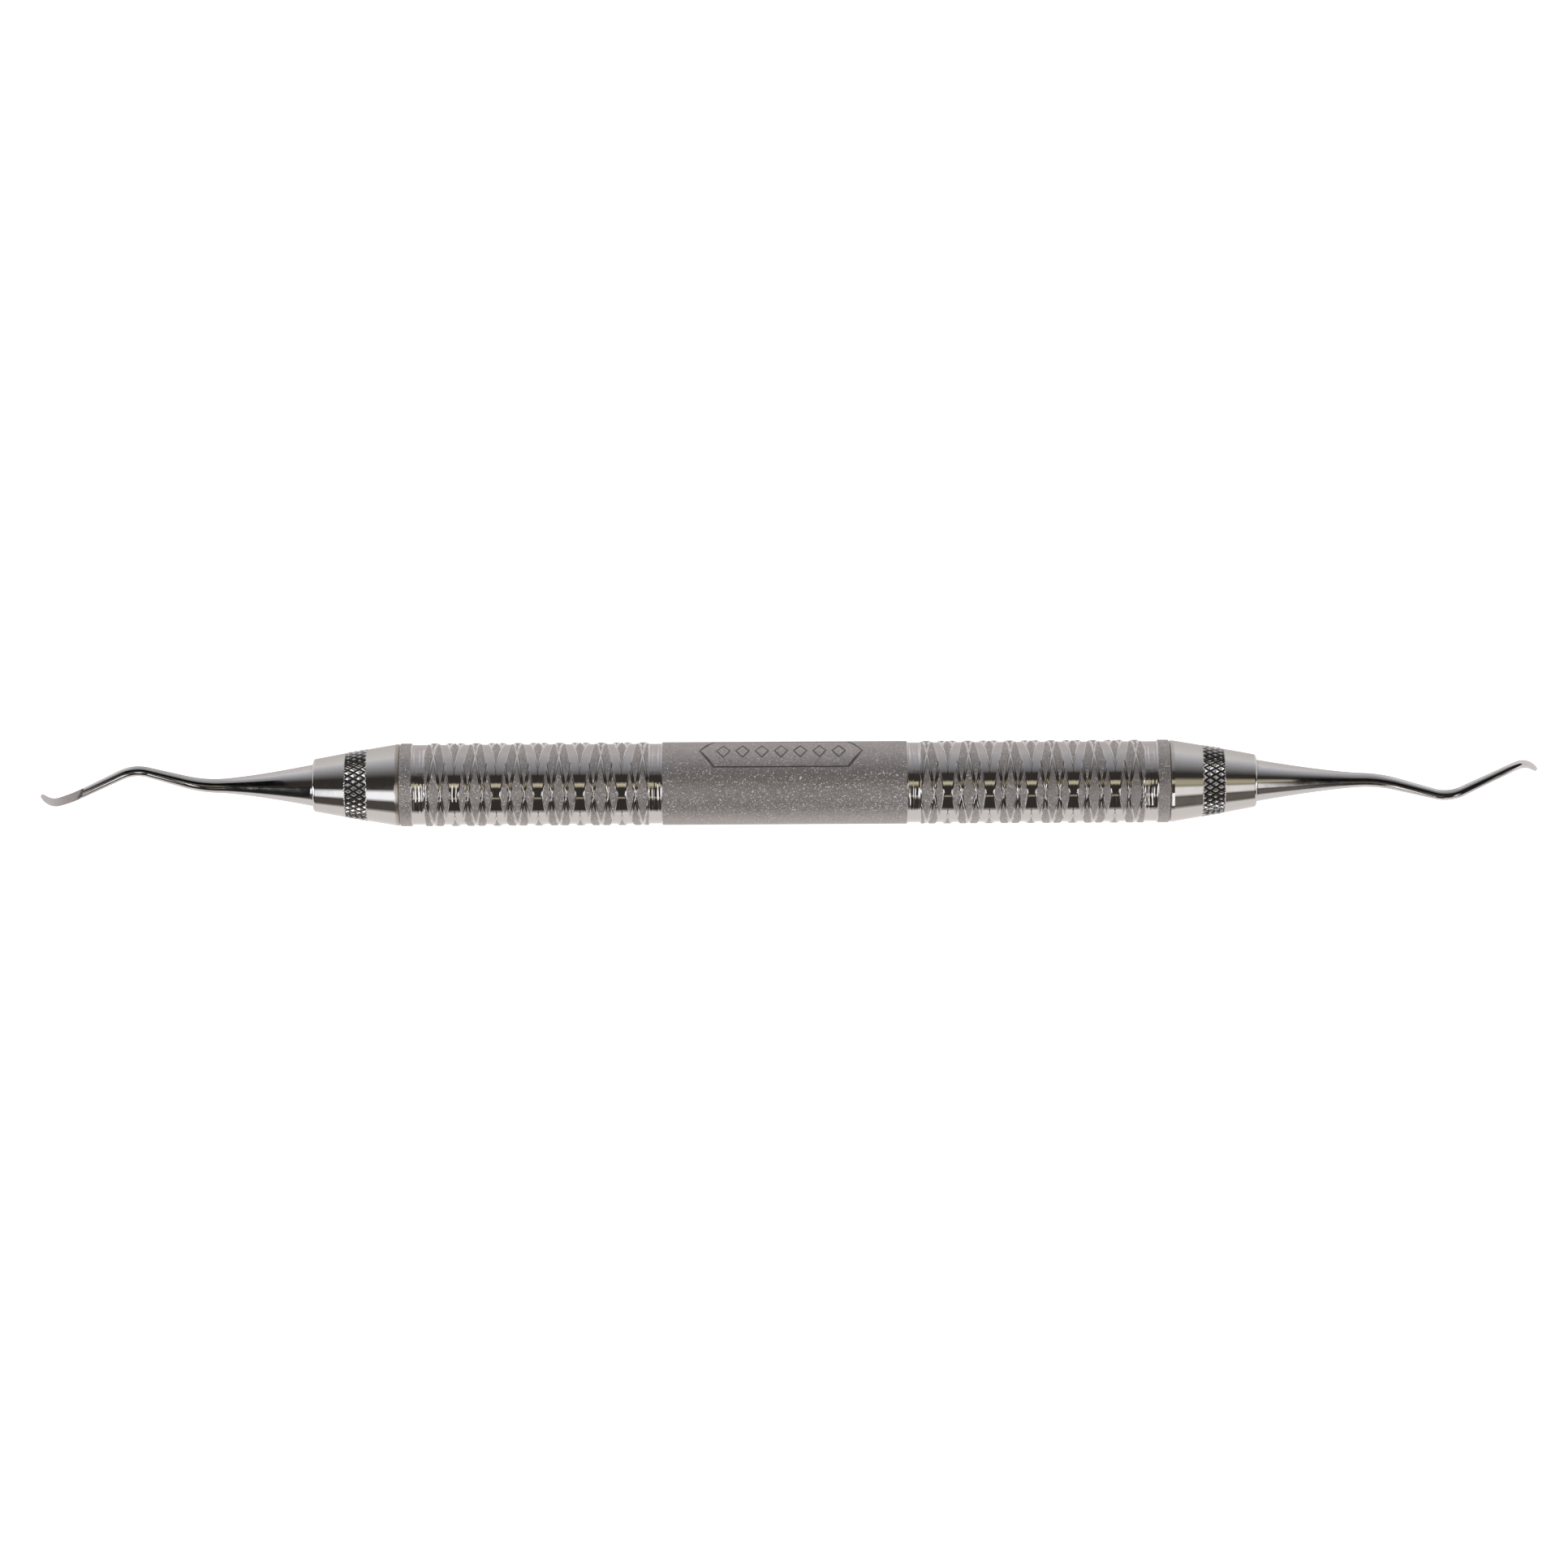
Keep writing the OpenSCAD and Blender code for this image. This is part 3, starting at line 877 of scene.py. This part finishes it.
class Blank:
    """One working end's shape: its sections by distance s along the centre line."""

    FACE_COLUMNS, SIDE_COLUMNS, BEVEL_COLUMNS, SPINE_COLUMNS = 12, 12, 5, 6
    # Angles round the section from +n (0) over the top (90); n is across, towards the toe's side
    TOP_EDGE, SHOULDER, SPINE = math.radians(50), math.radians(-14), math.radians(-62)
    BEVEL_ROOT, STRIPE, RIDGE = math.radians(-40), math.radians(-78), math.radians(-86)
    OPENING_POWER = 0.8
    # Length over which the bevels close to a ridge, and over which mesh lines gather before a cut
    BLUNT = 0.2
    GATHER = 1.2
    # Least width, in radians, of a strip of columns
    SLIVER = 0.02
    # A height that the grinding wheel never reaches
    CLEAR = 9.0
    # Closing of the rounded tip: it starts before the centre line ends, and stops short of a point
    ROUND_FROM = 0.1
    SHORT = 0.03

    def __init__(self, side):
        neck, run, terminal, blade_curve = ENDS[side]
        self.pieces = shank_path(neck, run, terminal, blade_curve)
        ends = [0.0]
        for piece in self.pieces:
            ends.append(ends[-1] + piece[0])
        self.neck, run_at, knee_at, terminal_at = ends[1:5]
        self.toe_at, self.total = ends[6], ends[-1]
        self.face_at = self.toe_at - FACE_LEN
        self.bevel_at = self.toe_at + BEVEL_FROM
        self.ridge_at = self.toe_at + RIDGE_FROM
        self.end = self.total + TIP_R - self.SHORT
        self.radii = [(self.neck, SHANK_NECK_R), (run_at, SHANK_RUN_R), (knee_at, SHANK_KNEE_R),
                      (terminal_at, SHANK_KNEE_R - 0.01), (self.face_at - 0.5, BLADE_R + 0.02),
                      (self.toe_at, BLADE_R)]
        self.touch_at = self.face_at - 2.0
        while self.cut_span(self.touch_at) is None:
            self.touch_at += 0.01
        self.touch_angle = sum(self.cut_span(self.touch_at)) / 2

    def radius(self, s):
        if s <= self.neck:
            flare = (1 - s / self.neck) ** FLARE_POWER
            return SHANK_NECK_R + (SHANK_BASE_R - SHANK_NECK_R) * flare
        if s <= self.toe_at:
            return between(self.radii, s)
        narrow = min((s - self.toe_at) / (self.total - self.toe_at), 1) ** 2
        r = BLADE_R - (BLADE_R - TOE_END_R) * narrow
        past = (s - self.total + self.ROUND_FROM) / (TIP_R + self.ROUND_FROM)
        return r * math.sqrt(max(1 - past ** 2, 0.0)) if past > 0 else r

    def run_out(self, s, n):
        """Distance back from the slanted line where the flat of the ground face begins."""
        return (self.face_at - n * math.tan(FACE_SLANT) - s) * math.cos(FACE_SLANT)

    def face_height(self, s, n):
        """Height of the ground face over the middle, at distance s and offset n across it."""
        back = self.run_out(s, n)
        if back <= 0:
            return FACE_H
        if back >= FACE_RUNOUT_R:
            return self.CLEAR
        return FACE_H + FACE_RUNOUT_R - math.sqrt(FACE_RUNOUT_R ** 2 - back ** 2)

    def cut_span(self, s):
        """Angles between which the grinding wheel has cut into the round, or None."""
        r = self.radius(s)

        def is_cut(angle):
            return self.face_height(s, r * math.cos(angle)) < r * math.sin(angle)

        def border(inside, outside):
            for _ in range(24):
                middle = (inside + outside) / 2
                inside, outside = (middle, outside) if is_cut(middle) else (inside, middle)
            return inside

        step = math.pi / 180
        hits = [k * step for k in range(1, 180) if is_cut(k * step)]
        if not hits:
            return None
        return border(hits[0], hits[0] - step), border(hits[-1], hits[-1] + step)

    def top_edges(self, s):
        """Angles of the two sides of the face, or of the strip that the face grows from."""
        span = self.cut_span(s) if s >= self.touch_at else None
        if span is None and s > self.face_at:
            span = (math.pi / 2, math.pi / 2)
        if span is None:
            gather = smooth((s - self.touch_at + self.GATHER) / self.GATHER)
            near = self.TOP_EDGE + (self.touch_angle - self.TOP_EDGE) * gather
            far = math.pi - self.TOP_EDGE
            span = (near, far + (self.touch_angle - far) * gather)
        near, far = span
        spare = max(self.SLIVER - (far - near), 0) / 2
        return near - spare, far + spare

    def back_edges(self, s):
        """Angles of the outer and inner edge of each bevel."""
        root = self.BEVEL_ROOT
        if s < self.bevel_at:
            gather = smooth((s - self.bevel_at + self.GATHER) / self.GATHER)
            outer, inner = self.SHOULDER, self.SPINE
            return outer + (root - outer) * gather, inner + (root - self.SLIVER - inner) * gather
        spread = min((s - self.bevel_at) / (self.ridge_at - self.bevel_at), 1)
        close = smooth((s - self.ridge_at + self.BLUNT) / self.BLUNT)
        outer = root + (self.SHOULDER - root) * spread ** self.OPENING_POWER
        inner = root - self.SLIVER + (self.STRIPE - root) * spread
        return outer, inner + (self.RIDGE - self.STRIPE) * close

    def section(self, s):
        """Points (n, z, zone) round the section; zone is that of the column that starts there."""
        r = self.radius(s)
        near, far = self.top_edges(s)
        outer, inner = self.back_edges(s)
        is_cut = s >= self.touch_at and self.cut_span(s) is not None
        is_bevelled = s >= self.bevel_at
        half = -math.pi
        runs = [
            (far, near, self.FACE_COLUMNS, "face"), (near, outer, self.SIDE_COLUMNS, "side"),
            (outer, inner, self.BEVEL_COLUMNS, "bevel"),
            (inner, half - inner, self.SPINE_COLUMNS, "spine"),
            (half - inner, half - outer, self.BEVEL_COLUMNS, "bevel"),
            (half - outer, far + 2 * half, self.SIDE_COLUMNS, "side"),
        ]
        points = []
        for first, last, count, zone in runs:
            for k in range(count):
                share = k / count
                a = first + (last - first) * share
                n, z = r * math.cos(a), r * math.sin(a)
                if (zone == "face" and is_cut) or (zone == "bevel" and is_bevelled):
                    n = r * (math.cos(first) * (1 - share) + math.cos(last) * share)
                    z = r * (math.sin(first) * (1 - share) + math.sin(last) * share)
                if zone == "face" and is_cut:
                    z = min(self.face_height(s, n), math.sqrt(r * r - n * n))
                points.append((n, z, zone))
        return points

    def is_ground(self, s, zone):
        starts = {"face": self.touch_at, "bevel": self.bevel_at, "spine": self.ridge_at,
                  "side": self.total - 0.05}
        return s >= starts[zone] - 1e-6

    def stations(self):
        found = {self.touch_at, self.bevel_at, self.ridge_at, self.total - 0.05}
        s = 0.0
        while s < self.end:
            found.add(s)
            if s < self.neck:
                s += 0.35
            elif s < self.touch_at - self.GATHER:
                s += 0.12
            else:
                s += 0.045 if s < self.total - self.ROUND_FROM else 0.025
        return sorted(found)


def build_tip(side):
    blank = Blank(side)
    bm = bmesh.new()
    run_out = bm.verts.layers.float.new(RUN_OUT)
    loops = []
    stations = blank.stations()
    for s in stations:
        place, heading = walk(blank.pieces, s)
        across = Vector((-math.sin(heading), math.cos(heading)))
        loop = []
        for n, z, zone in blank.section(s):
            p = place + across * n
            vertex = bm.verts.new((p.x, p.y, z))
            if z > 0:
                vertex[run_out] = min(max(blank.run_out(s, n) / FACE_RUNOUT_R, 0.0), 1.0)
            loop.append((vertex, zone))
        loops.append(loop)
    for s, a, b in zip(stations, loops, loops[1:]):
        for i in range(len(a)):
            j = (i + 1) % len(a)
            add_face(bm, (a[i][0], b[i][0], b[j][0], a[j][0]), int(blank.is_ground(s, a[i][1])))
    place, heading = walk(blank.pieces, blank.end)
    tip = bm.verts.new((place.x, place.y, 0.0))
    last = [v for v, zone in loops[-1]]
    for i in range(len(last)):
        add_face(bm, (last[i], last[(i + 1) % len(last)], tip), 1)
    base = [v for v, zone in loops[0]]
    tang_end = -SEAT_DEPTH - TANG_LEN
    for x, r in ((-SEAT_DEPTH, SHANK_BASE_R), (-SEAT_DEPTH, TANG_R),
                 (tang_end + TANG_BEVEL, TANG_R), (tang_end, TANG_R - TANG_BEVEL)):
        scale = r / SHANK_BASE_R
        new = [bm.verts.new((x, v.co.y * scale, v.co.z * scale)) for v, zone in loops[0]]
        for i in range(len(base)):
            j = (i + 1) % len(base)
            add_face(bm, (base[i], base[j], new[j], new[i]), 0)
        base = new
    back = bm.verts.new((tang_end, 0, 0))
    for i in range(len(base)):
        add_face(bm, (base[i], base[(i + 1) % len(base)], back), 0)
    root = HANDLE_HALF + CONE_LEN
    turn = Matrix.Rotation(math.pi, 4, "X") if side == "right" else Matrix.Diagonal((-1, 1, 1, 1))
    shift = Matrix.Translation((root if side == "right" else -root, 0, 0))
    return finish_piece(bm, f"{side}_tip", f"{side}_tip", f"{side}_working_end",
                        [SHANK, GROUND], sharp_deg=24, flip=shift @ turn)


build_handle()
for end_side in ("left", "right"):
    build_bush(end_side)
    build_seal(end_side)
    build_cone(end_side)
    build_tip(end_side)


# ---------------------------------------------------------------- floor, light and camera
# Tints of the studio: walls and panels, the paper table, the warm lamps and the black rig
PLAIN = (0.98, 0.97, 1.02)
PAPER = (1.0, 0.95, 0.93)
LAMP = (1.0, 0.9, 0.65)
BLACK = (1.0, 0.85, 0.75)


def build_floor():
    """A pale table: white to the eye and to the light it gives back, light grey in reflections."""
    mesh = bpy.data.meshes.new("table")
    half = 6.0
    z = -HANDLE_R * MM
    mesh.from_pydata([(-half, -half, z), (half, -half, z), (half, half, z), (-half, half, z)],
                     [], [(0, 1, 2, 3)])
    s = Shader("pale_table")
    s.bsdf.inputs["Base Color"].default_value = rgb(0.90, 0.90, 0.90)
    s.bsdf.inputs["Roughness"].default_value = 0.9
    s.bsdf.inputs["Specular IOR Level"].default_value = 0.0
    s.bsdf.inputs["Emission Color"].default_value = rgb(1.0, 1.0, 1.0)
    s.bsdf.inputs["Emission Strength"].default_value = 0.55
    ray = s.node("ShaderNodeNewGeometry")
    turn = s.node("ShaderNodeSeparateXYZ")
    s.link(ray.outputs["Incoming"], turn.inputs[0])
    upper = s.span(turn.outputs[1], 0.0, -0.25)
    middle = s.span(s.math("ABSOLUTE", turn.outputs[0]), 0.34, 0.12)
    shade = s.math("MULTIPLY", upper, middle)
    mirrored = s.node("ShaderNodeEmission")
    s.link(s.mix(shade, lit(0.93, PAPER), lit(0.65, PAPER)), mirrored.inputs[0])
    path = s.node("ShaderNodeLightPath")
    both = s.node("ShaderNodeMixShader")
    s.link(path.outputs["Is Glossy Ray"], both.inputs[0])
    s.link(s.bsdf.outputs[0], both.inputs[1])
    s.link(mirrored.outputs[0], both.inputs[2])
    s.link(both.outputs[0], s.tree.nodes["Material Output"].inputs["Surface"])
    mesh.materials.append(s.material)
    table = bpy.data.objects.new("table", mesh)
    bpy.context.scene.collection.objects.link(table)


def lit(level, tint):
    return rgb(*[level * part for part in tint])


def build_world():
    """A studio: a pale room for the eye, and the panels and dark rig that metal reflects."""
    world = bpy.data.worlds.new("studio")
    bpy.context.scene.world = world
    world.use_nodes = True
    s = Nodes(world.node_tree)
    s.tree.nodes.clear()
    coords = s.node("ShaderNodeTexCoord")
    split = s.node("ShaderNodeSeparateXYZ")
    s.link(coords.outputs["Generated"], split.inputs[0])
    x, y, z = split.outputs
    angle = s.math("MULTIPLY", s.math("ARCTAN2", y, z), 360 / TURN)

    def studio(wall_from, wall_power, wall_level, panels):
        """Light by angle in degrees from the zenith towards +Y.

        A dark rig hangs overhead. Past wall_from a wall grows lighter down to the table. Each panel is
        (from, to), width of its soft edges, level and tint. The table closes the near side.
        """
        height = s.math("POWER", s.span(angle, wall_from, 90), wall_power)
        seen = s.mix(height, lit(0.045, BLACK), lit(wall_level, PLAIN))
        for (start, end), soft, level, tint in panels:
            entered = s.span(angle, start - soft / 2, start + soft / 2)
            left_behind = s.span(angle, end - soft / 2, end + soft / 2)
            seen = s.mix(s.math("SUBTRACT", entered, left_behind), seen, lit(level, tint))
        return s.mix(s.span(angle, -80, -94), seen, lit(0.9, PAPER))

    middle = studio(26, 0.55, 0.6, [((-43, -39), 3, 0.5, LAMP), ((-8, 2), 6, 0.75, LAMP)])
    left = studio(22, 1.15, 0.9, [((-82, -52), 10, 0.1, BLACK), ((-48, -19), 10, 1.5, PLAIN)])
    right = studio(22, 1.15, 0.9, [((-82, -48), 14, 0.18, BLACK), ((-45, -17), 8, 1.15, PAPER),
                                   ((-15, 5), 10, 0.55, LAMP)])
    far = studio(26, 0.55, 0.6, [((-56, -16), 5, 3.0, PLAIN)])
    seen = s.mix(s.span(x, 0.24, 0.31), middle, right)
    seen = s.mix(s.span(x, 0.42, 0.48), seen, middle)
    seen = s.mix(s.span(x, -0.20, -0.28), seen, left)
    seen = s.mix(s.span(s.math("ABSOLUTE", x), 0.56, 0.62), seen, far)
    path = s.node("ShaderNodeLightPath")
    even = s.mix(path.outputs["Is Camera Ray"], rgb(0.98, 0.98, 0.98), rgb(1.0, 1.0, 1.0))
    background = s.node("ShaderNodeBackground")
    s.link(s.mix(path.outputs["Is Glossy Ray"], even, seen), background.inputs[0])
    s.link(background.outputs[0], s.node("ShaderNodeOutputWorld").inputs[0])


def build_cards():
    """Small reflector cards and black flags near the shanks, seen only as reflections in the metal.

    Each is a strip of a cylinder round the handle's axis: (name, radius, reach along X, degrees from
    the zenith towards +Y, level).
    """
    cards = [
        ("left_reflector", 80, (-68, -46), (-50, -3), 1.5),
        ("left_flag", 60, (-90, -77.5), (-76, -11), 0.02),
        ("left_top_flag", 25, (-83, -67.5), (-3, 42), 0.004),
        ("left_spark", 45, (-81, -77.6), (-42, -20), 1.3),
        ("right_reflector", 80, (50.5, 66.5), (-74, -34), 1.5),
        ("right_flag", 60, (80, 108), (-68, -11), 0.02),
        ("right_rim", 61, (80, 120), (-94, -67), 0.75),
        ("right_top_flag", 25, (67.5, 92), (-12, 14), 0.004),
        ("right_spark", 45, (87.5, 91.5), (-56, -32), 1.3),
    ]
    bends = 12
    for name, reach, (x_from, x_to), (low, high), radiance in cards:
        bm = bmesh.new()
        rows = []
        for k in range(bends + 1):
            angle = math.radians(low + (high - low) * k / bends)
            rows.append([bm.verts.new(point(x, reach, angle)) for x in (x_from, x_to)])
        for a, b in zip(rows, rows[1:]):
            bm.faces.new((a[0], a[1], b[1], b[0]))
        mesh = bpy.data.meshes.new(name)
        bm.to_mesh(mesh)
        bm.free()
        mesh.transform(Matrix.Scale(MM, 4))
        s = Shader(name)
        light = s.node("ShaderNodeEmission")
        light.inputs[0].default_value = rgb(1.0, 0.98, 0.97)
        light.inputs[1].default_value = radiance
        s.link(light.outputs[0], s.tree.nodes["Material Output"].inputs["Surface"])
        mesh.materials.append(s.material)
        card = bpy.data.objects.new(name, mesh)
        card.visible_camera = False
        card.visible_diffuse = False
        card.visible_shadow = False
        bpy.context.scene.collection.objects.link(card)


def build_camera():
    """Straight down on the table from 0.78 m, turned a little so that the right end stands higher."""
    distance = 0.783
    roll = math.radians(-0.30)
    frame_w = 0.1801
    data = bpy.data.cameras.new("camera")
    data.sensor_width = 36
    data.lens = 36 * distance / frame_w
    data.clip_start = 0.05
    data.clip_end = 20
    camera = bpy.data.objects.new("camera", data)
    camera.location = (-0.00008, -0.00012, distance)
    camera.rotation_euler = (0, 0, roll)
    bpy.context.scene.collection.objects.link(camera)
    bpy.context.scene.camera = camera


build_floor()
build_world()
build_cards()
build_camera()
bpy.context.scene.view_settings.view_transform = "Standard"
